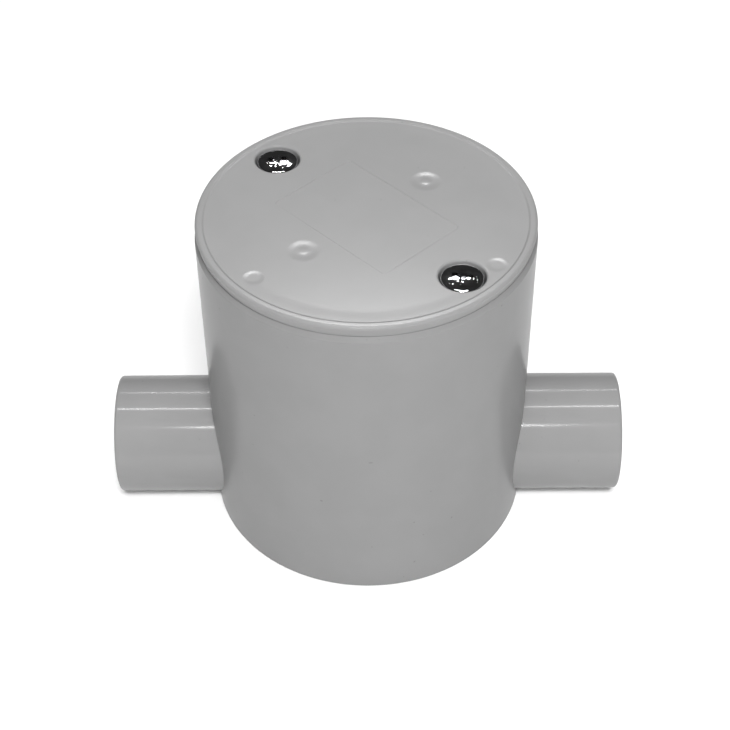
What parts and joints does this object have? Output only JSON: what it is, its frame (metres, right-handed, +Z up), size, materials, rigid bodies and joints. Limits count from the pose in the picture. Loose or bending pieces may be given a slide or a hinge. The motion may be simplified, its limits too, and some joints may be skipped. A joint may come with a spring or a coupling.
{
  "type": "deep junction box",
  "caption": "Deep round two-way junction box for 20 mm conduit: plain conduit sockets low on opposite sides and a flat lid held by recessed cross-head screws.",
  "frame": {"origin": "centre of the round box's flat base, on the base plane", "axes": "+Z up through the lid, +X along the two conduit sockets, +Y level and square to them"},
  "size_m": [0.1058, 0.066, 0.0713],
  "materials": {
    "grey_pvc": "glossy moulded rigid PVC, electrical grey",
    "grey_pvc_lid": "semi-gloss moulded rigid PVC, electrical grey",
    "plated_steel": "bright plated steel",
    "brass": "machined brass"
  },
  "bodies": {
    "box": {"box_moulding": "grey_pvc", "brass_insert_1": "brass", "brass_insert_2": "brass"},
    "lid": {"lid": "grey_pvc_lid"},
    "lid_screw_1": {"lid_screw_1": "plated_steel"},
    "lid_screw_2": {"lid_screw_2": "plated_steel"}
  },
  "joints": [
    {"name": "lid_lift", "type": "slide", "parent": "box", "child": "lid", "axis": [0, 0, 1], "range_m": [0, 0.03]},
    {"name": "lid_screw_1_turn", "type": "hinge", "parent": "lid", "child": "lid_screw_1", "pos_m": [-0.01764, 0.01827, 0.068], "axis": [0, 0, 1], "range_deg": [0, 5040]},
    {"name": "lid_screw_2_turn", "type": "hinge", "parent": "lid", "child": "lid_screw_2", "pos_m": [0.01764, -0.01827, 0.068], "axis": [0, 0, 1], "range_deg": [0, 5040]}
  ]
}
